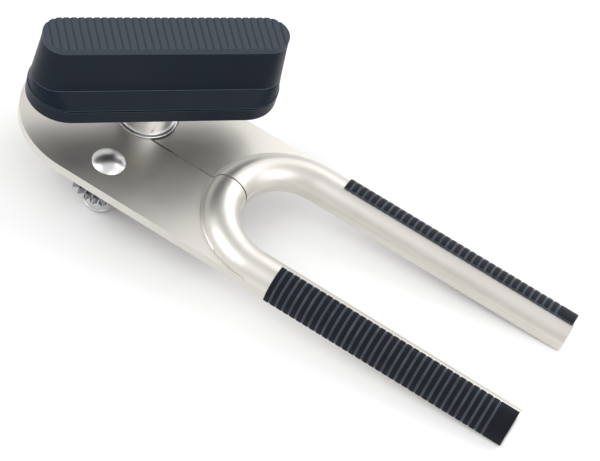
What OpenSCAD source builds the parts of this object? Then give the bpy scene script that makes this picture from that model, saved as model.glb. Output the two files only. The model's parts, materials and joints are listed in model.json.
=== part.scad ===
// Pliers-type can opener with pressed steel handles and a large turning knob.
// Everything is drawn in the plate frame: X runs from the head to the handle ends, the plates'
// top face is z = 0 and the handle pivot is on x = 0. stance() then lays the tool down on its
// wheel ends and handle ends, with the middle of its footprint at the origin.

/* [Handles] */
// Distance from the pivot to the handle ends
handle_reach = 156; // [135:1:185]
// Distance from the pivot to the middle of the U bend
bend_x = 60.5; // [56:0.5:70]
// Radius of the handles' centre line round the U bend
bend_r = 22.5; // [21.5:0.25:25]
// Outside radius of the arched handle section
tube_r = 6.6; // [5.6:0.1:7.4]
// Height of the arch's centre below the plates' top face
tube_drop = 1.8; // [1.7:0.1:2.6]
// Depth of the turned-down rim below the plates' top face
rim_depth = 3.5; // [3.4:0.1:5]
// Sheet thickness of both pressings
sheet = 1.6; // [1.2:0.1:1.7]
// Distance from the pivot back to the centre of the round head
head_x = 10; // [6:0.5:14]
// Radius of the fillet at the foot of the arch
foot_fillet = 1.1; // [0.6:0.1:1.6]

/* [Grips] */
// Distance from the pivot to the front edge of the grips
grip_start = 68.8; // [66:0.5:90]
// Thickness of the grips over the steel
grip_t = 0.75; // [0.6:0.05:1.2]
// How far past the crest the grips reach, in degrees
grip_wrap = 11; // [0:1:25]
// Number of ribs across each grip
grip_ribs = 33; // [20:1:40]
// Width of the grooves between the ribs
grip_groove = 0.45; // [0.3:0.05:0.8]
// Length of the plain band at each grip's end
grip_end = 6.5; // [3:0.5:12]

/* [Pivot and wheels] */
// Sideways distance from the middle seam to the handle pivot
pivot_y = 8.1; // [7:0.1:9.5]
// Knob shaft's offset from the pivot along the handles
shaft_dx = 1.9; // [1:0.1:2.5]
// Knob shaft's offset from the pivot towards the feed wheel
shaft_dy = 4.35; // [3.4:0.05:4.6]
// Feed wheel stud's distance from the pivot along the handles
stud_x = 1.6; // [0:0.1:3]
// Feed wheel stud's distance from the middle seam
stud_y = 17.2; // [16.5:0.1:18.5]
// Radius of the collar where it meets the plate
collar_r = 10.6; // [10.3:0.1:11.5]
// Height of the collar above the plate
collar_h = 13; // [10:0.5:13.5]
// Radius of the knob shaft
shaft_r = 3; // [2.6:0.1:3.2]
// Radius of the feed wheel over its teeth
feed_r = 7.9; // [7:0.1:8.4]
// Radius of the polished drum and cap below the feed wheel
cap_r = 6.1; // [5:0.1:6.6]
// Number of teeth on the feed wheel
feed_teeth = 13; // [10:1:16]
// Number of teeth on each gear
gear_teeth = 22; // [16:1:24]
// Depth of the wheel ends below the plates' top face
foot_depth = 20.6; // [19.8:0.1:24]

/* [Knob] */
// Length of the knob's top
knob_len = 79.8; // [66:0.5:95]
// Width of the knob's top
knob_w = 13.6; // [12:0.2:18]
// Length of the knob's flange
flange_len = 83.2; // [70:0.5:99]
// Width of the knob's flange
flange_w = 26; // [22:0.5:36]
// Height of the flange's underside above the plate
flange_z = 16.9; // [16:0.1:20]
// Height of the flange's edge
flange_t = 4.9; // [4:0.1:5.5]
// Height above the plate of the crease where the knob's wall meets its sloping skirt
crease_z = 26.4; // [26:0.1:30]
// Height of the knob's top above the plate
knob_top = 44.3; // [38:0.1:54]
// Angle of the knob to the handles
knob_angle = 42.8; // [0:0.1:90]
// Number of ridges across the knob's top
ridges = 33; // [24:1:40]

/* [Fits] */
// Radial clearance of a turning shaft in its bore
run = 0.05; // [0.03:0.01:0.08]
// Clearance between flat faces that slide or turn on each other
slide = 0.1; // [0.08:0.01:0.2]
// Clearance of a pressed or riveted fit
press = 0.01; // [0.01:0.01:0.02]
// Width of the seam between the two plates
seam = 0.6; // [0.3:0.1:0.8]

/* [Hidden] */
$fn = 96;

steel = [0.74, 0.73, 0.71];
chrome = [0.82, 0.82, 0.83];
rubber = [0.07, 0.08, 0.11];
plastic = [0.08, 0.10, 0.14];

half_w = bend_r + tube_r;
core_r = tube_r - sheet;
stud = [stud_x, -stud_y];
shaft = [shaft_dx, pivot_y - shaft_dy];

// The tool rests on the flat feet of both wheel ends and on the lower edge of both handle ends.
foot_r = 3;
foot_edge = shaft_dx + foot_r;
tilt = atan((foot_depth - rim_depth) / (handle_reach - foot_edge));
floor_h = rim_depth * cos(tilt) + handle_reach * sin(tilt);
crest_z = tube_r - tube_drop;
tip_x = -(head_x + half_w) * cos(tilt) - rim_depth * sin(tilt);
end_x = handle_reach * cos(tilt) + crest_z * sin(tilt);
grip_y = bend_r + tube_r + grip_t;
knob_y = shaft[1] + (flange_len - flange_w) / 2 * sin(knob_angle) + flange_w / 2;

module stance()
    translate([-(tip_x + end_x) / 2, -(knob_y - grip_y) / 2, floor_h])
        rotate([0, tilt, 0]) children();

module at_pivot() translate([0, pivot_y, 0]) children();
module at_shaft() translate([shaft[0], shaft[1], 0]) children();
module at_stud() translate([stud[0], stud[1], 0]) children();
module at_knob() at_shaft() rotate([0, 0, knob_angle]) children();

// Two circles' outline, with straight sides between them
module stadium(len, w) {
    square([len - w, w], center = true);
    for (s = [-1, 1]) translate([s * (len - w) / 2, 0]) circle(d = w);
}

// A flat ring between two heights
module ring(r_out, r_in, z0, z1)
    translate([0, 0, z0]) difference() {
        cylinder(r = r_out, h = z1 - z0);
        translate([0, 0, -1]) cylinder(r = r_in, h = z1 - z0 + 2);
    }

// ---- Pressed plates and handles ----

// Swing of handle B, and the two rays round the pivot between which the plates leave it room
swing = 35;
ray_b = 60;
ray_a = ray_b + swing + 4;
lap_r = 17.5;
lap_z = -sheet - slide;

// The shaft's bush sits off centre in the collar, so the barrel and the cone above it grow with
// the bush where their own walls would get too thin.
bush_r = shaft_r + run + 0.8;
bush_reach = norm([shaft_dx, shaft_dy]) + bush_r + run;
lip = 0.5;
barrel_r = max(collar_r - 1, bush_reach + lip + 0.35);
cone_r = max(collar_r - 1.5, bush_reach + 0.4);

// The head and the flat plates, w wide on each side of the seam
module head_outline(w) {
    translate([-head_x, 0]) circle(r = w);
    translate([-head_x, -w]) square([head_x + bend_x, 2 * w]);
}

// A wedge round the pivot from ray a0 to ray a1, under 180 degrees
module wedge(a0, a1, r = 120)
    translate([0, pivot_y]) polygon([[0, 0], r * [cos(a0), sin(a0)],
        r * [cos((a0 + a1) / 2), sin((a0 + a1) / 2)] * 1.4, r * [cos(a1), sin(a1)]]);

// Everything on B's side of the seam, up to B's ray
module b_sector(gap)
    difference() {
        translate([0, gap / 2]) square([200, 100]);
        wedge(ray_b, ray_b + 160);
    }

module a_plate(w)
    difference() {
        head_outline(w);
        translate([0, -seam / 2]) square([200, 100]);
        wedge(45, ray_a);
    }

module b_plate(w)
    difference() {
        intersection() {
            head_outline(w);
            b_sector(seam);
        }
        translate([0, pivot_y]) circle(r = collar_r + 0.6);
    }

// Section of the arched handle, r in radius, with legs down to z = low
module arch(r, low) {
    translate([0, -tube_drop]) intersection() {
        circle(r = r);
        translate([-r, 0]) square([2 * r, r]);
    }
    translate([-r, low]) square([2 * r, -tube_drop - low]);
}

// One handle's path: a quarter of the U bend, then straight to the end. side is -1 for A, 1 for B.
module along_handle(side, inset = 0) {
    translate([bend_x, 0, 0]) rotate([0, 0, side < 0 ? 180 : 90])
        rotate_extrude(angle = 90) translate([bend_r, 0]) children();
    translate([bend_x, side * bend_r, 0]) rotate([90, 0, 90])
        linear_extrude(handle_reach - bend_x - inset) children();
}

// The concave fillet between the arch's outer foot and the plate. Its circle touches both, and
// dips into them a little so that no thin sliver is left.
dip = 0.03;
foot_x = sqrt(pow(tube_r + foot_fillet, 2) - pow(foot_fillet + tube_drop, 2)) - dip;
touch_z = (foot_fillet + tube_drop) * tube_r / (tube_r + foot_fillet) - tube_drop;

module foot(side)
    translate([bend_x, 0, -dip]) rotate([0, 0, side < 0 ? 180 : 118])
        rotate_extrude(angle = 62) translate([bend_r + foot_x, 0]) difference() {
            translate([-2, 0]) square([2, touch_z]);
            translate([0, foot_fillet]) circle(r = foot_fillet);
        }

module pressing(side) {
    difference() {
        union() {
            // flat plate and its turned-down rim
            translate([0, 0, -sheet]) linear_extrude(sheet) difference() {
                if (side < 0) a_plate(half_w); else b_plate(half_w);
                translate([bend_x, 0]) circle(r = bend_r);
            }
            translate([0, 0, -rim_depth]) linear_extrude(rim_depth - sheet / 2) difference() {
                if (side < 0) a_plate(half_w); else b_plate(half_w);
                head_outline(half_w - sheet);
            }
            along_handle(side) arch(tube_r, -sheet);
            // legs below the sheet: the inner one all along, the outer one past the bend
            along_handle(side) translate([-tube_r, -rim_depth]) square([sheet, rim_depth - sheet / 2]);
            translate([bend_x, side * half_w - (side > 0 ? sheet : 0), -rim_depth])
                cube([handle_reach - bend_x, sheet, rim_depth - sheet / 2]);
            translate([handle_reach - sheet, side * bend_r - tube_r, -rim_depth])
                cube([sheet, 2 * tube_r, rim_depth - sheet / 2]);
            foot(side);
        }
        along_handle(side, sheet) arch(core_r, -rim_depth - 1);
        // the seam runs on over the crown of the bend
        translate([0, side < 0 ? -seam / 2 : -50, -10]) cube([100, 50 + seam / 2, 30]);
    }
}

module handle_a_shell() color(steel) stance() difference() {
    union() {
        pressing(-1);
        at_pivot() ring(collar_r, barrel_r - 1, -sheet, 0);
    }
    at_pivot() translate([0, 0, -10]) cylinder(r = barrel_r + run, h = 20);
    at_stud() translate([0, 0, -10]) cylinder(r = stud_r + press, h = 20);
    screw_holes(-1);
}

module handle_b_shell() color(steel) stance() difference() {
    union() {
        pressing(1);
        // the lap under plate A, stepped up into plate B
        at_pivot() translate([0, 0, -sheet * 2 - slide]) cylinder(r = lap_r, h = sheet);
        translate([0, 0, lap_z - 0.5]) linear_extrude(-lap_z) intersection() {
            translate([0, pivot_y]) circle(r = lap_r - 0.4);
            b_plate(half_w);
        }
    }
    at_pivot() translate([0, 0, -10]) cylinder(r = barrel_r + press, h = 20);
    screw_holes(1);
}

// ---- Grips ----

screw_x = [grip_start + 14, handle_reach - 16];
screw_r = 1.2;
screw_head_r = 2.1;
screw_head_z = sqrt(core_r * core_r - screw_head_r * screw_head_r) - 0.05;
screw_end_z = sqrt(tube_r * tube_r - screw_r * screw_r) - 0.05;
screw_tilt = 50;

// Section of the grip on side A, outer radius r
module grip_section(r) {
    translate([0, -tube_drop]) difference() {
        intersection() {
            circle(r = r);
            polygon([[0, 0], 20 * [sin(grip_wrap), cos(grip_wrap)], [-20, 20], [-20, 0]]);
        }
        circle(r = tube_r + 0.05);
    }
    translate([-r, -rim_depth + 0.3]) square([r - tube_r - 0.05, rim_depth - 0.3 - tube_drop]);
}

module grip(side) {
    length = handle_reach - 0.4 - grip_start;
    pitch = (length - grip_end) / grip_ribs;
    mirror([0, side > 0 ? 1 : 0, 0]) translate([grip_start, -bend_r, 0]) rotate([90, 0, 90]) {
        linear_extrude(length) grip_section(tube_r + grip_t - 0.3);
        for (i = [0 : grip_ribs - 1]) translate([0, 0, i * pitch])
            linear_extrude(pitch - grip_groove) grip_section(tube_r + grip_t);
        translate([0, 0, length - grip_end]) linear_extrude(grip_end) grip_section(tube_r + grip_t);
    }
}

module at_screws(side)
    mirror([0, side > 0 ? 1 : 0, 0]) for (x = screw_x)
        translate([x, -bend_r, -tube_drop]) rotate([screw_tilt, 0, 0]) children();

module screw_holes(side) at_screws(side) cylinder(r = screw_r + 0.1, h = tube_r + 2);

// Pan head inside the channel, with its shank through the sheet up to the grip
module grip_screws(side)
    at_screws(side) {
        translate([0, 0, screw_head_z - 1.2]) cylinder(r = screw_head_r, h = 1.2);
        translate([0, 0, screw_head_z - 0.1]) cylinder(r = screw_r, h = screw_end_z - screw_head_z + 0.1);
    }

module grip_a() color(rubber) stance() grip(-1);
module grip_b() color(rubber) stance() grip(1);
module grip_screws_a() color(chrome) stance() grip_screws(-1);
module grip_screws_b() color(chrome) stance() grip_screws(1);

// ---- Handle pivot ----

lap_under = -2 * sheet - slide;
lock_t = 1.1;

// Conical chrome collar whose barrel is the pivot of the two plates, bored off centre
module pivot_collar() color(chrome) stance() difference() {
    at_pivot() rotate_extrude() polygon([
        [0, lap_under - lock_t], [barrel_r - lip, lap_under - lock_t],
        [barrel_r - lip, lap_under], [barrel_r, lap_under],
        [barrel_r, slide], [collar_r, slide], [collar_r, 0.6], [collar_r - 0.2, 0.8],
        [cone_r + 0.5, 0.9], [cone_r + 0.3, 1.3], [cone_r, collar_h - 0.3],
        [cone_r - 0.25, collar_h], [0, collar_h]]);
    at_shaft() translate([0, 0, -20]) cylinder(r = bush_r + run, h = 60);
}

// Ring riveted on below the lap, which holds the collar down
module collar_lock_ring() color(steel) stance() at_pivot()
    ring(barrel_r + 1.6, barrel_r - lip + press, lap_under - lock_t, lap_under);

gear_top = -6.2;
gear_t = 2.8;

// Wave washer between the collar and the drive gear, drawn as its flattened ring
module wave_washer() color(steel) stance() at_shaft()
    ring(bush_r + 1.4, shaft_r + 0.15, gear_top, gear_top + 0.6);

// Flanged sleeve that carries the shaft in the collar
module shaft_bush() color([0.72, 0.6, 0.35]) stance() at_shaft() difference() {
    union() {
        translate([0, 0, lap_under - lock_t]) cylinder(r = bush_r, h = collar_h - lap_under + lock_t + 1);
        translate([0, 0, collar_h + slide]) cylinder(r = bush_r + 0.5, h = 1);
    }
    translate([0, 0, -30]) cylinder(r = shaft_r + run, h = 60);
}

// ---- Knob shaft and cutting side ----

teeth_top = -9.4;
teeth_bottom = -14.3;
cutter_z = teeth_bottom + 1.2;
wheel_gap = norm(shaft - stud);
cutter_r = wheel_gap - feed_r - 0.25;
shaft_low = -foot_depth + 1.6;
shaft_high = knob_top - 7;
pin_r = 1;
pin_z = knob_top - 13;

module drive_shaft() color(chrome) stance() at_shaft() difference() {
    translate([0, 0, shaft_low]) cylinder(r = shaft_r, h = shaft_high - shaft_low);
    rotate([0, 0, knob_angle]) translate([0, -20, pin_z]) rotate([-90, 0, 0])
        cylinder(r = pin_r + press, h = 40, $fn = 32);
}

pitch_r = wheel_gap / 2;
pitch_a = 360 / gear_teeth;
gear_m = 2 * pitch_r / gear_teeth;
tip_r = pitch_r + 0.85 * gear_m;
root_r = pitch_r - 1.15 * gear_m;

function polar(r, a) = [r * cos(a), r * sin(a)];

// Spur gear outline with straight flanks; a tooth points along a = 0
module gear_outline() polygon([for (i = [0 : gear_teeth - 1]) let (a = i * pitch_a) each [
    polar(root_r, a - pitch_a * 0.36), polar(pitch_r, a - pitch_a * 0.215),
    polar(tip_r, a - pitch_a * 0.085), polar(tip_r, a + pitch_a * 0.085),
    polar(pitch_r, a + pitch_a * 0.215), polar(root_r, a + pitch_a * 0.36)]]);

// Angle of the line from the stud to the knob shaft: a tooth of the feed gear lies on it,
// and a gap of the drive gear.
mesh_a = atan2(shaft[1] - stud[1], shaft[0] - stud[0]);

module drive_gear() color(steel) stance() at_shaft() difference() {
    translate([0, 0, gear_top - gear_t - slide]) linear_extrude(gear_t)
        rotate(mesh_a + 180 + pitch_a / 2) gear_outline();
    translate([0, 0, -20]) cylinder(r = shaft_r + press, h = 40);
}

module shaft_spacer() color(steel) stance() at_shaft()
    ring(shaft_r + 2.6, shaft_r + press, cutter_z + 1.3, gear_top - gear_t - slide);

// Dished disc with a sharp rim
module cutting_wheel() color(chrome) stance() at_shaft() difference() {
    rotate_extrude() polygon([[0, cutter_z - 1.6], [shaft_r + 3.4, cutter_z - 1.6],
        [cutter_r - 2.2, cutter_z - 0.9], [cutter_r, cutter_z - 0.1], [cutter_r, cutter_z + 0.05],
        [cutter_r - 2.4, cutter_z + 0.3], [shaft_r + 3, cutter_z + 1.3], [0, cutter_z + 1.3]]);
    translate([0, 0, -30]) cylinder(r = shaft_r + press, h = 40);
}

// Domed hexagon nut that locks the cutting wheel; its flat end is one of the feet
module cutter_nut() color(chrome) stance() at_shaft() difference() {
    intersection() {
        translate([0, 0, -foot_depth]) cylinder(r = 6.1, h = foot_depth + cutter_z - 1.6, $fn = 6);
        rotate_extrude() polygon([[0, -foot_depth], [foot_r, -foot_depth], [5.2, -foot_depth + 1.2],
            [6.1, -foot_depth + 3], [6.1, cutter_z - 1.9], [5.6, cutter_z - 1.6], [0, cutter_z - 1.6]]);
    }
    translate([0, 0, shaft_low]) cylinder(r = shaft_r + press, h = 40);
}

// ---- Feed wheel and its stud ----

stud_r = 3.2;
dome_r = 5.7;
dome_h = 2.1;
dome_ball = (dome_r * dome_r + dome_h * dome_h) / (2 * dome_h);
cap_z = -17.8;
cap_thread_r = 1.6;

// Riveted stud with a domed head on top of plate A
module wheel_stud() color(chrome) stance() at_stud() difference() {
    union() {
        intersection() {
            translate([0, 0, dome_h - dome_ball]) sphere(r = dome_ball);
            cylinder(r = dome_r, h = 5);
        }
        translate([0, 0, cap_z]) cylinder(r = stud_r, h = -cap_z + 1);
    }
    translate([0, 0, cap_z - 1]) cylinder(r = cap_thread_r + press, h = 7);
}

module stud_spacer() color(steel) stance() at_stud()
    ring(5.4, stud_r + press, gear_top, -sheet);

module feed_gear() color(steel) stance() at_stud() difference() {
    union() {
        translate([0, 0, gear_top - gear_t - slide]) linear_extrude(gear_t)
            rotate(mesh_a) gear_outline();
        translate([0, 0, teeth_top]) cylinder(r = 5, h = gear_top - gear_t - slide - teeth_top);
    }
    translate([0, 0, -20]) cylinder(r = stud_r + run, h = 40);
}

// Wheel with V teeth that carries the can round
module feed_wheel() color([0.4, 0.4, 0.42]) stance() at_stud() difference() {
    translate([0, 0, teeth_bottom]) linear_extrude(teeth_top - teeth_bottom)
        polygon([for (i = [0 : 2 * feed_teeth - 1])
            polar(i % 2 == 0 ? feed_r : feed_r - 1.5, i * 180 / feed_teeth)]);
    translate([0, 0, -20]) cylinder(r = stud_r + run, h = 40);
}

// Polished plain drum under the teeth
module feed_drum() color(chrome) stance() at_stud()
    ring(cap_r, stud_r + run, cap_z + slide, teeth_bottom);

// Polished cap screw that keeps the feed wheel on the stud; its flat end is the other foot
module wheel_cap_screw() color(chrome) stance() at_stud() {
    rotate_extrude() polygon([[0, -foot_depth], [foot_r + shaft_dx - stud_x, -foot_depth],
        for (a = [70 : -14 : 0]) [foot_r + 0.4 + (cap_r - foot_r - 0.4) * cos(a),
            cap_z - 0.4 - (foot_depth + cap_z - 0.4) * sin(a)],
        [cap_r, cap_z], [0, cap_z]]);
    translate([0, 0, cap_z - 0.5]) cylinder(r = cap_thread_r, h = 6);
}

// ---- Knob ----

pad_t = 2.4;
neck_r = 8;
neck_z = collar_h + 1 + slide + 0.9;
ledge_z = flange_z + flange_t;
insert_r = 6;
pin_len = 2 * insert_r * cos(30) - 0.3;
insert_low = neck_z + 2;
insert_high = shaft_high - 1.5;

// A long block that narrows from one stadium to another
module stadium_taper(len0, w0, z0, len1, w1, z1) hull() {
    translate([0, 0, z0]) linear_extrude(0.01) stadium(len0, w0, $fn = 48);
    translate([0, 0, z1 - 0.01]) linear_extrude(0.01) stadium(len1, w1, $fn = 48);
}

module knob_body() color(plastic) stance() at_knob() difference() {
    union() {
        translate([0, 0, flange_z]) linear_extrude(flange_t) stadium(flange_len, flange_w);
        stadium_taper(flange_len - 0.4, flange_w - 0.4, ledge_z - 0.5,
            flange_len - 0.8, knob_w + 2.6, crease_z);
        stadium_taper(flange_len - 0.8, knob_w + 2.6, crease_z - 0.5, knob_len, knob_w, knob_top - pad_t);
        translate([0, 0, neck_z]) cylinder(r = neck_r, h = flange_z - neck_z + 1);
    }
    // moulding pockets on both sides of the hub
    for (s = [-1, 1]) translate([s * flange_len / 4, 0, flange_z - 1])
        linear_extrude(knob_top - pad_t - flange_z - 2.5) stadium(flange_len / 2 - 20, knob_w - 4.5);
    translate([0, 0, insert_low]) cylinder(r = insert_r, h = 60, $fn = 6);
    cylinder(r = shaft_r + 0.3, h = 60);
}

// Grip surface of the knob, moulded with cross ridges
module knob_top_pad() color(plastic) stance() at_knob() {
    pitch = knob_len / ridges;
    difference() {
        translate([0, 0, knob_top - pad_t]) linear_extrude(pad_t) stadium(knob_len, knob_w);
        for (i = [1 : ridges - 1]) translate([-knob_len / 2 + i * pitch, 0, knob_top])
            rotate([45, 0, 90]) cube([40, 0.65, 0.65], center = true);
    }
}

module knob_insert() color(chrome) stance() at_knob() difference() {
    translate([0, 0, insert_low]) cylinder(r = insert_r - 0.02, h = insert_high - insert_low, $fn = 6);
    translate([0, 0, -1]) cylinder(r = shaft_r + press, h = 60);
    translate([0, -20, pin_z]) rotate([-90, 0, 0]) cylinder(r = pin_r + press, h = 40, $fn = 32);
}

// Cross pin through the insert and the shaft
module knob_pin() color(steel) stance() at_knob()
    translate([0, -pin_len / 2, pin_z]) rotate([-90, 0, 0]) cylinder(r = pin_r, h = pin_len, $fn = 32);

module knob_washer() color(chrome) stance() at_shaft()
    ring(7.2, shaft_r + press, collar_h + 1 + 2 * slide, neck_z);

handle_a_shell();
handle_b_shell();
grip_a();
grip_b();
grip_screws_a();
grip_screws_b();
pivot_collar();
collar_lock_ring();
wave_washer();
shaft_bush();
drive_shaft();
drive_gear();
shaft_spacer();
cutting_wheel();
cutter_nut();
wheel_stud();
stud_spacer();
feed_gear();
feed_drum();
feed_wheel();
wheel_cap_screw();
knob_body();
knob_top_pad();
knob_insert();
knob_pin();
knob_washer();
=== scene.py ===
import json
import math
import bpy
from mathutils import Matrix, Quaternion, Vector


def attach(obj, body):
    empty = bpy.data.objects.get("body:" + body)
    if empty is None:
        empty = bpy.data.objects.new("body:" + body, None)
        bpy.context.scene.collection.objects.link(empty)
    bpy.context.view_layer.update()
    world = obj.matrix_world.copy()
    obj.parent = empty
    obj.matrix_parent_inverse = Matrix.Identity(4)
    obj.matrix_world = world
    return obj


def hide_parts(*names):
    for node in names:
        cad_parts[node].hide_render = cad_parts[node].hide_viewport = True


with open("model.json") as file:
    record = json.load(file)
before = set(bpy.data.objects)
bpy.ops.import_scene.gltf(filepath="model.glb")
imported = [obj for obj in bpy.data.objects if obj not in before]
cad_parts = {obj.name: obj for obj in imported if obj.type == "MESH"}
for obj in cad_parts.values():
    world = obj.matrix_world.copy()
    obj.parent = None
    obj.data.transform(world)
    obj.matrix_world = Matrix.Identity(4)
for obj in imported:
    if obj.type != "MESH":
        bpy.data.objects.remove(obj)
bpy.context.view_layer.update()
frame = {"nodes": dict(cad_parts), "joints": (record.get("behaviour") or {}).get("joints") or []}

# ---- Camera, table and studio ----
# The tool lies on a pale table under soft studio light. A long lens looks down on it from the
# side of handle A, a little rolled.

aim = Vector((0.00845, -0.00875, 0.020))
azimuth, elevation, roll = (math.radians(a) for a in (-70.19, 47.57, 12.16))
back = Vector((math.cos(elevation) * math.cos(azimuth), math.cos(elevation) * math.sin(azimuth),
               math.sin(elevation)))
bpy.ops.object.camera_add(location=aim + back * 0.6093)
camera = bpy.context.object
camera.rotation_mode = "QUATERNION"
camera.rotation_quaternion = (-back).to_track_quat("-Z", "Y") @ Quaternion((0, 0, 1), roll)
camera.data.lens, camera.data.sensor_width = 114.4, 36
camera.data.clip_start = 0.01
bpy.context.scene.camera = camera
bpy.context.scene.view_settings.view_transform = "Standard"


def srgb(hexa):
    """A hex colour as linear values."""
    c = [int(hexa[i:i + 2], 16) / 255 for i in (1, 3, 5)]
    return tuple(v / 12.92 if v <= 0.04045 else ((v + 0.055) / 1.055) ** 2.4 for v in c) + (1,)


def material(name, colour, roughness, metallic=0.0, **sockets):
    """A material with one Principled shader. Returns the material, its tree and the shader."""
    mat = bpy.data.materials.new(name)
    mat.use_nodes = True
    shader = mat.node_tree.nodes["Principled BSDF"]
    values = {"Base Color": srgb(colour), "Roughness": roughness, "Metallic": metallic}
    for socket, value in (values | sockets).items():
        shader.inputs[socket.replace("_", " ")].default_value = value
    mat.diffuse_color = srgb(colour)
    return mat, mat.node_tree, shader


def add(tree, kind, values={}, links={}, **settings):
    """Adds one node, with its settings, socket values and incoming links."""
    made = tree.nodes.new("ShaderNode" + kind)
    for key, value in settings.items():
        setattr(made, key, value)
    for key, value in values.items():
        made.inputs[key].default_value = value
    for key, source in links.items():
        tree.links.new(source, made.inputs[key])
    return made


paper = material("matt_white_paper_sweep", "#F2F2F2", 0.9)[0]
bpy.ops.object.select_all(action="DESELECT")
bpy.ops.mesh.primitive_plane_add(size=6, location=(0, 0, -0.0002))
table = bpy.context.object
table.name = "table"
table.data.materials.append(paper)

world = bpy.data.worlds.new("studio")
bpy.context.scene.world = world
world.use_nodes = True
world.node_tree.nodes["Background"].inputs["Color"].default_value = (1, 1, 1, 1)
world.node_tree.nodes["Background"].inputs["Strength"].default_value = 0.8

# softboxes: place, size in metres, power in watts
for name, place, size, power in [("key", (-0.75, -0.60, 0.95), 0.9, 6.5),
                                 ("fill", (0.9, -0.3, 0.6), 0.9, 4.0),
                                 ("back", (0.45, 0.95, 0.75), 1.1, 7.5)]:
    bpy.ops.object.light_add(type="AREA", location=place)
    lamp = bpy.context.object
    lamp.name = name
    lamp.data.size, lamp.data.energy = size, power
    lamp.rotation_mode = "QUATERNION"
    lamp.rotation_quaternion = (-Vector(place)).to_track_quat("-Z", "Y")

# ---- Handle pressings ----
# Two halves pressed from 1.6 mm steel sheet, each a flat plate that runs into an arched handle.
# They are linished and nickel plated to a satin shine, with edges that the press rounded over.

# how far the plates lean when the tool lies down on its wheel ends and handle ends, from the
# depths of both below the plates and their distance along the tool, in millimetres
wheel_depth, rim_depth, wheel_end, handle_end = 20.6, 3.5, 4.9, 156
tilt = math.atan((wheel_depth - rim_depth) / (handle_end - wheel_end))
joints = {j["name"]: j for j in frame["joints"]}
pivot = Vector(joints["handle_swing"]["pos_m"])
plate = Matrix.Translation(pivot) @ Matrix.Rotation(tilt, 4, "Y")   # plate frame, at the pivot

# satin nickel: a soft, warm grey reflection, drawn out a little along the tool
steel, tree, shader = material("satin_nickel_plated_steel", "#D8D5CE", 0.41, 1.0)
coords = add(tree, "TexCoord")
# the linishing runs along the tool: scratches 0.3 mm wide and about 12 mm long
along = add(tree, "Mapping", {"Rotation": (0, tilt, 0), "Scale": (1 / 80, 1 / 3300, 1 / 3300)},
            {"Vector": coords.outputs["Object"]}, vector_type="TEXTURE")
lines = add(tree, "TexNoise", {"Scale": 1.0, "Detail": 2.0, "Roughness": 0.6},
            {"Vector": along.outputs["Vector"]})
# polishing-wheel marks about 12 mm across
cloud = add(tree, "TexNoise", {"Scale": 80.0, "Detail": 3.0}, {"Vector": coords.outputs["Object"]})
both = add(tree, "Mix", {"Factor": 0.6}, {"A": lines.outputs["Fac"], "B": cloud.outputs["Fac"]})
rough = add(tree, "MapRange", {"From Min": 0.3, "From Max": 0.7, "To Min": 0.38, "To Max": 0.44},
            {"Value": both.outputs["Result"]})
tree.links.new(rough.outputs["Result"], shader.inputs["Roughness"])
tone = add(tree, "Mix", {"A": srgb("#D4D1CA"), "B": srgb("#DCD9D3")},
           {"Factor": cloud.outputs["Fac"]}, data_type="RGBA")
tree.links.new(tone.outputs["Result"], shader.inputs["Base Color"])
bump = add(tree, "Bump", {"Strength": 0.02, "Distance": 0.00001}, {"Height": lines.outputs["Fac"]})
tree.links.new(bump.outputs["Normal"], shader.inputs["Normal"])


weld = 2e-6                         # corners closer than this are one corner, in metres
flat_angle = math.radians(0.4)      # facets of a flat or nearly flat face, which are joined
smooth_angle = math.radians(32)     # facets of a curved face, which are shaded smooth
area_weight = 90                    # how far the large faces decide the shading of their edges


def edge_angles(mesh):
    """The angle between the two faces at each edge, by edge index."""
    faces = {}
    for p in mesh.polygons:
        for key in p.edge_keys:
            faces.setdefault(key, []).append(p.normal)
    return {e.index: faces[e.key][0].angle(faces[e.key][1], 0)
            for e in mesh.edges if len(faces.get(e.key, [])) == 2}


def rounded_copy(node, name, body, finish, width, angle=28, share=None, segments=3, edge=None):
    """A copy of a CAD node in its own place, with its edges rounded to width metres. share says
    how much of that width an edge gets, from its two ends in the plate frame. edge is a second
    material, a painted highlight, which the rounded edges wear."""
    bpy.ops.object.select_all(action="DESELECT")
    piece = frame["nodes"][node].copy()
    piece.data = piece.data.copy()
    bpy.context.collection.objects.link(piece)
    piece.parent = None
    piece.matrix_world = Matrix.Identity(4)
    piece.name = piece.data.name = name
    piece.data.materials.clear()
    piece.data.materials.append(finish)
    if edge:
        piece.data.materials.append(edge)
    bpy.context.view_layer.objects.active = piece
    piece.select_set(True)
    bpy.ops.object.mode_set(mode="EDIT")
    bpy.ops.mesh.select_all(action="SELECT")
    bpy.ops.mesh.remove_doubles(threshold=weld)
    bpy.ops.mesh.dissolve_limited(angle_limit=flat_angle)
    bpy.ops.object.mode_set(mode="OBJECT")
    weights = piece.data.attributes.new("bevel_weight_edge", "FLOAT", "EDGE")
    bends = edge_angles(piece.data)
    points = [plate.inverted() @ v.co for v in piece.data.vertices]
    for e in piece.data.edges:
        if bends.get(e.index, 0) > math.radians(angle):
            a, b = (points[i] for i in e.vertices)
            weights.data[e.index].value = share(a, b) if share else 1.0
    bevel = piece.modifiers.new("edges", "BEVEL")
    bevel.width, bevel.segments, bevel.limit_method = width, segments, "WEIGHT"
    bevel.material = 1 if edge else -1
    bpy.ops.object.modifier_apply(modifier="edges")
    bpy.ops.object.shade_smooth_by_angle(angle=smooth_angle)
    flat = piece.modifiers.new("flat faces stay flat", "WEIGHTED_NORMAL")
    flat.mode, flat.weight, flat.keep_sharp = "FACE_AREA", area_weight, True
    bpy.ops.object.modifier_apply(modifier=flat.name)
    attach(piece, body)
    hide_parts(node)


round_over = 0.0011     # the press rounds the plates' outer top edge
broken = 0.3            # every other edge is only broken, to this share of it
seam_y = -0.0081        # the middle seam, from the pivot
collar_reach = 0.0125   # the plates' edges nearer the pivot than this lie round the collar


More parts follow.
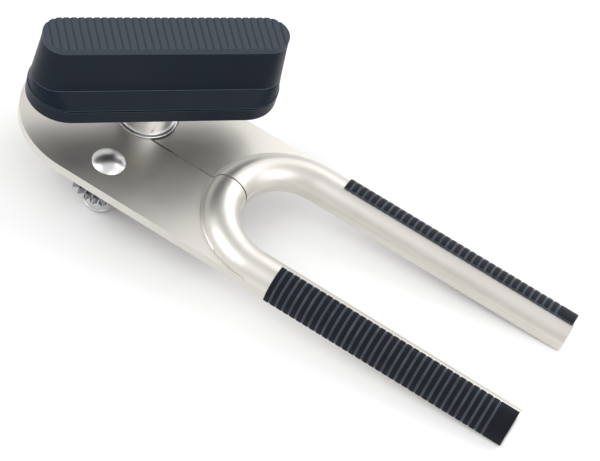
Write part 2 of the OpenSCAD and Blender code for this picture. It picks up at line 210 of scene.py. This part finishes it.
def shell_edges(a, b):
    """The share of the round-over that an edge from a to b gets."""
    top = max(abs(a.z), abs(b.z)) < 2e-5
    seam = max(abs(a.y - seam_y), abs(b.y - seam_y)) < 6e-4
    near_pivot = max(a.xy.length, b.xy.length) < collar_reach
    return 1.0 if top and not seam and not near_pivot else broken


for body in ("handle_a", "handle_b"):
    rounded_copy(body + "_shell", body + "_pressing", body, steel, round_over,
                 share=shell_edges)

# ---- Grips ----
# Thermoplastic rubber strips, moulded with cross ribs and screwed on from inside the handles.
# The rubber is a near-black navy and dull, and the ribs' rounded edges carry a painted highlight.

rubber, tree, shader = material("moulded_navy_tpe", "#0D1018", 0.55, Specular_IOR_Level=0.15)
coords = add(tree, "TexCoord")
# spark-eroded mould texture, 0.35 mm between its pits
grain = add(tree, "TexNoise", {"Scale": 2900.0, "Detail": 2.0}, {"Vector": coords.outputs["Object"]})
tone = add(tree, "MapRange", {"From Min": 0.3, "From Max": 0.7, "To Min": 0.45, "To Max": 0.58},
           {"Value": grain.outputs["Fac"]})
tree.links.new(tone.outputs["Result"], shader.inputs["Roughness"])
shade = add(tree, "Mix", {"A": srgb("#0A0D14"), "B": srgb("#10141D")},
            {"Factor": grain.outputs["Fac"]}, data_type="RGBA")
tree.links.new(shade.outputs["Result"], shader.inputs["Base Color"])
bump = add(tree, "Bump", {"Strength": 0.25, "Distance": 0.00003}, {"Height": grain.outputs["Fac"]})
tree.links.new(bump.outputs["Normal"], shader.inputs["Normal"])

# painted highlight on the ribs' rounded edges: a paler grey blue, uneven along each rib
rib_edge_painted_highlight, tree, shader = material("navy_tpe_painted_edge_highlight", "#39414F", 0.4, Specular_IOR_Level=0.4)
coords = add(tree, "TexCoord")
# the painted highlight comes and goes every 4 mm
highlight_patchiness = add(tree, "TexNoise", {"Scale": 250.0, "Detail": 3.0}, {"Vector": coords.outputs["Object"]})
shade = add(tree, "Mix", {"A": srgb("#2A323F"), "B": srgb("#748091")},
            {"Factor": highlight_patchiness.outputs["Fac"]}, data_type="RGBA")
tree.links.new(shade.outputs["Result"], shader.inputs["Base Color"])

for side in ("a", "b"):
    # the grips' rounded edges wear the painted highlight
    rounded_copy("grip_" + side, "grip_strip_" + side, "handle_" + side, rubber,
                 0.0001, segments=2, edge=rib_edge_painted_highlight)

# ---- Knob ----
# The body is injection moulded in navy ABS with a soft sheen: a tall stadium wall over a sloping
# skirt. A ridged pad of the same plastic, with a dull spark-eroded face, is pressed into its top.

navy, tree, shader = material("moulded_navy_abs", "#0E1520", 0.38, Specular_IOR_Level=0.13)
coords = add(tree, "TexCoord")
# faint mould finish: hills 0.6 mm apart
swirl = add(tree, "TexNoise", {"Scale": 1700.0, "Detail": 3.0}, {"Vector": coords.outputs["Object"]})
# flow of the moulding, 8 mm across
cloud = add(tree, "TexNoise", {"Scale": 120.0, "Detail": 2.0}, {"Vector": coords.outputs["Object"]})
tone = add(tree, "MapRange", {"From Min": 0.3, "From Max": 0.7, "To Min": 0.33, "To Max": 0.43},
           {"Value": cloud.outputs["Fac"]})
tree.links.new(tone.outputs["Result"], shader.inputs["Roughness"])
shade = add(tree, "Mix", {"A": srgb("#0B1420"), "B": srgb("#0E1926")},
            {"Factor": cloud.outputs["Fac"]}, data_type="RGBA")
tree.links.new(shade.outputs["Result"], shader.inputs["Base Color"])
bump = add(tree, "Bump", {"Strength": 0.08, "Distance": 0.00003}, {"Height": swirl.outputs["Fac"]})
tree.links.new(bump.outputs["Normal"], shader.inputs["Normal"])

# painted highlight: a thin line of light painted on the moulding's rounded edges
knob_edge_painted_highlight, tree, shader = material("navy_abs_painted_edge_highlight", "#3A4655", 0.25,
                                   Specular_IOR_Level=0.5)
coords = add(tree, "TexCoord")
highlight_patchiness = add(tree, "TexNoise", {"Scale": 200.0, "Detail": 2.0}, {"Vector": coords.outputs["Object"]})
shade = add(tree, "Mix", {"A": srgb("#485463"), "B": srgb("#7A8797")},
            {"Factor": highlight_patchiness.outputs["Fac"]}, data_type="RGBA")
tree.links.new(shade.outputs["Result"], shader.inputs["Base Color"])

# the pad's face is matt, and its colour is painted paler than the body for the light falling on its
# top
pad_painted_top_light, tree, shader = material("spark_eroded_navy_abs_painted_top_light", "#3A424E", 0.75, Specular_IOR_Level=0.4)
coords = add(tree, "TexCoord")
pits = add(tree, "TexNoise", {"Scale": 2500.0, "Detail": 3.0}, {"Vector": coords.outputs["Object"]})
shade = add(tree, "Mix", {"A": srgb("#292F38"), "B": srgb("#3B434E")},
            {"Factor": pits.outputs["Fac"]}, data_type="RGBA")
tree.links.new(shade.outputs["Result"], shader.inputs["Base Color"])
bump = add(tree, "Bump", {"Strength": 0.5, "Distance": 0.00006}, {"Height": pits.outputs["Fac"]})
tree.links.new(bump.outputs["Normal"], shader.inputs["Normal"])

# the moulding's rounded edges wear the painted highlight
rounded_copy("knob_body", "knob_moulding", "knob", navy, 0.0004, angle=24,
             edge=knob_edge_painted_highlight)
rounded_copy("knob_top_pad", "knob_ridged_pad", "knob", pad_painted_top_light, 0.0002, angle=30,
             segments=2)

# ---- Collar, and the ring that locks it ----
# The collar is turned from steel bar and chrome plated. Its barrel is the pivot of both plates,
# and a plain steel ring is riveted over it from below.

shaft_axis = Vector(joints["knob_turn"]["pos_m"])
stud_axis = Vector(joints["feed_wheel_spin"]["pos_m"])


def turned_metal(name, colour, roughness, axis, pitch, depth=0.03):
    """Metal turned on a lathe: fine rings round axis, pitch metres apart, and a soft stain of
    handling 5 mm across. roughness is its least and most."""
    mat, tree, shader = material(name, colour, sum(roughness) / 2, 1.0)
    coords = add(tree, "TexCoord")
    centred = add(tree, "Mapping", {"Location": axis, "Rotation": (0, tilt, 0)},
                  {"Vector": coords.outputs["Object"]}, vector_type="TEXTURE")
    # a ring wave repeats every 2 pi / 20 units at scale 1
    rings = add(tree, "TexWave", {"Scale": math.pi / 10 / pitch, "Distortion": 0.0},
                {"Vector": centred.outputs["Vector"]}, wave_type="RINGS", rings_direction="Z")
    stain = add(tree, "TexNoise", {"Scale": 200.0, "Detail": 3.0},
                {"Vector": coords.outputs["Object"]})
    rough = add(tree, "MapRange", {"From Min": 0.3, "From Max": 0.7, "To Min": roughness[0],
                                   "To Max": roughness[1]}, {"Value": stain.outputs["Fac"]})
    tree.links.new(rough.outputs["Result"], shader.inputs["Roughness"])
    bump = add(tree, "Bump", {"Strength": depth, "Distance": 0.00002},
               {"Height": rings.outputs["Fac"]})
    tree.links.new(bump.outputs["Normal"], shader.inputs["Normal"])
    return mat


def tumbled_metal(name, light, dark, roughness, size):
    """Stamped metal that was tumbled smooth: blotches of two tones, size metres across, over a
    grain of small dents. roughness is its least and most."""
    mat, tree, shader = material(name, light, sum(roughness) / 2, 1.0)
    coords = add(tree, "TexCoord")
    blotch = add(tree, "TexNoise", {"Scale": 1 / size, "Detail": 4.0},
                 {"Vector": coords.outputs["Object"]})
    tone = add(tree, "Mix", {"A": srgb(dark), "B": srgb(light)},
               {"Factor": blotch.outputs["Fac"]}, data_type="RGBA")
    tree.links.new(tone.outputs["Result"], shader.inputs["Base Color"])
    rough = add(tree, "MapRange", {"From Min": 0.3, "From Max": 0.7, "To Min": roughness[1],
                                   "To Max": roughness[0]}, {"Value": blotch.outputs["Fac"]})
    tree.links.new(rough.outputs["Result"], shader.inputs["Roughness"])
    dents = add(tree, "TexNoise", {"Scale": 1800.0, "Detail": 2.0},
                {"Vector": coords.outputs["Object"]})
    bump = add(tree, "Bump", {"Strength": 0.1, "Distance": 0.00002},
               {"Height": dents.outputs["Fac"]})
    tree.links.new(bump.outputs["Normal"], shader.inputs["Normal"])
    return mat


# satin chrome: bright and soft, with rings too fine to count
collar_chrome = turned_metal("chrome_plated_turned_collar", "#E2E2E2", (0.27, 0.34), pivot, 0.0004)
rounded_copy("pivot_collar", "collar", "handle_b", collar_chrome, 0.0003, angle=30)

# zinc plate, tumbled: a dull grey with paler blotches
zinc = tumbled_metal("zinc_plated_stamped_steel", "#B7B8BA", "#97999D", (0.34, 0.46), 0.004)
rounded_copy("collar_lock_ring", "lock_ring", "handle_b", zinc, 0.00015, angle=30)

# ---- Bush ----
# A flanged sleeve turned from bronze, pressed over the knob's shaft. It rolls in the collar as
# the handles open. Bronze is a warm brown yellow, with clear turning rings on its flange.

bronze = turned_metal("turned_bearing_bronze", "#B48A52", (0.28, 0.38), shaft_axis, 0.0004, 0.06)
rounded_copy("shaft_bush", "bronze_bush", "shaft_bush", bronze, 0.0001, angle=30)

# ---- Knob's shaft and what holds it in the knob ----
# A ground steel shaft runs from the knob to the cutting wheel. A hexagonal steel insert, moulded
# into the knob, holds it with a cross pin, and a chrome washer closes the knob from below.

ground = turned_metal("ground_steel_shaft", "#B9B9BB", (0.2, 0.3), shaft_axis, 0.0003, 0.04)
rounded_copy("drive_shaft", "ground_shaft", "knob", ground, 0.0002, angle=30)
hexagon = tumbled_metal("drawn_hexagon_steel", "#ADAEB0", "#8E9093", (0.34, 0.46), 0.003)
rounded_copy("knob_insert", "hexagon_insert", "knob", hexagon, 0.0002, angle=30)
pin_steel = tumbled_metal("hardened_dowel_steel", "#A5A5A8", "#8C8C90", (0.24, 0.32), 0.002)
rounded_copy("knob_pin", "cross_pin", "knob", pin_steel, 0.0001, angle=30)
washer_chrome = turned_metal("chrome_plated_washer", "#D6D6D7", (0.16, 0.24), shaft_axis, 0.0004)
rounded_copy("knob_washer", "chrome_washer", "knob", washer_chrome, 0.00012,
             angle=30)

# ---- Gears, spacers and wave washer ----
# Two equal spur gears, blanked from 2.8 mm steel and tumbled, turn the wheels against each other.
# Plain steel rings set their heights, and a wave washer takes up the play below the collar.

gear_steel = tumbled_metal("blanked_and_tumbled_gear_steel", "#9C9DA0", "#7B7D81", (0.32, 0.45), 0.003)
for node, name, body in (("drive_gear", "driving_gear", "knob"),
                         ("feed_gear", "driven_gear", "feed_wheel")):
    rounded_copy(node, name, body, gear_steel, 0.00015, angle=20, segments=2)
for node, name, body in (("shaft_spacer", "shaft_ring", "knob"),
                         ("stud_spacer", "stud_ring", "handle_a"),
                         ("wave_washer", "sprung_washer", "knob")):
    rounded_copy(node, name, body, zinc, 0.0001, angle=30)

# ---- Feed wheel, drum and stud ----
# The feed wheel's thirteen V teeth are hardened; their steel is painted dark for the shade under the
# plate, and their rounded flanks carry a painted highlight.
# A drum and a cap screw, both polished, hold it on a riveted stud whose chromed dome shows on the
# plate.

# painted shade: the teeth's steel is darkened for the shade under the plate
tooth_steel_painted_shade = tumbled_metal("hardened_tooth_steel_painted_shade", "#6F6F73", "#4A4A4E", (0.3, 0.42), 0.002)
# painted highlight: bright steel painted on the teeth's rounded flanks
tooth_flank_painted_highlight = tumbled_metal("tooth_steel_painted_highlight", "#DADADC", "#BFBFC2", (0.16, 0.24), 0.002)
# the teeth's rounded flanks wear the painted highlight
rounded_copy("feed_wheel", "toothed_wheel", "feed_wheel", tooth_steel_painted_shade, 0.0003,
             angle=30, edge=tooth_flank_painted_highlight)
dome_chrome = turned_metal("chrome_plated_dome", "#E2E2E2", (0.28, 0.34), stud_axis, 0.0004, 0.02)
rounded_copy("wheel_stud", "domed_stud", "handle_a", dome_chrome, 0.00025, angle=30)
cap_chrome = turned_metal("polished_chrome_cap", "#DADADB", (0.1, 0.16), stud_axis, 0.0005, 0.02)
rounded_copy("wheel_cap_screw", "wheel_cap", "handle_a", cap_chrome, 0.00025, angle=30)
drum_steel = turned_metal("polished_steel_drum", "#D2D2D3", (0.14, 0.2), stud_axis, 0.0005, 0.03)
rounded_copy("feed_drum", "wheel_drum", "feed_wheel", drum_steel, 0.00025, angle=30)

# ---- Cutting wheel and its nut ----
# A dished disc of hardened stainless steel, ground to an edge all round. A chromed hexagon nut
# with a domed end locks it on the shaft, and its flat tip is one of the tool's feet.

cutter = turned_metal("ground_stainless_cutter", "#C4C4C6", (0.18, 0.26), shaft_axis, 0.0003, 0.08)
rounded_copy("cutting_wheel", "cutter", "knob", cutter, 0.00006, angle=35,
             segments=2)
nut_chrome = turned_metal("chrome_plated_nut", "#D8D8D9", (0.14, 0.22), shaft_axis, 0.0005, 0.02)
rounded_copy("cutter_nut", "domed_nut", "knob", nut_chrome, 0.00025, angle=30)

# ---- Grip screws ----
# Two pan-head steel screws in each handle hold its grip from inside the channel. They are nickel
# plated, so they shine a little warmer than the chrome.

screw_nickel = tumbled_metal("nickel_plated_screw_steel", "#CFCCC6", "#B9B6B0", (0.22, 0.32), 0.003)
for side in ("a", "b"):
    rounded_copy("grip_screws_" + side, "pan_head_screws_" + side, "handle_" + side, screw_nickel,
                 0.0002, angle=30)
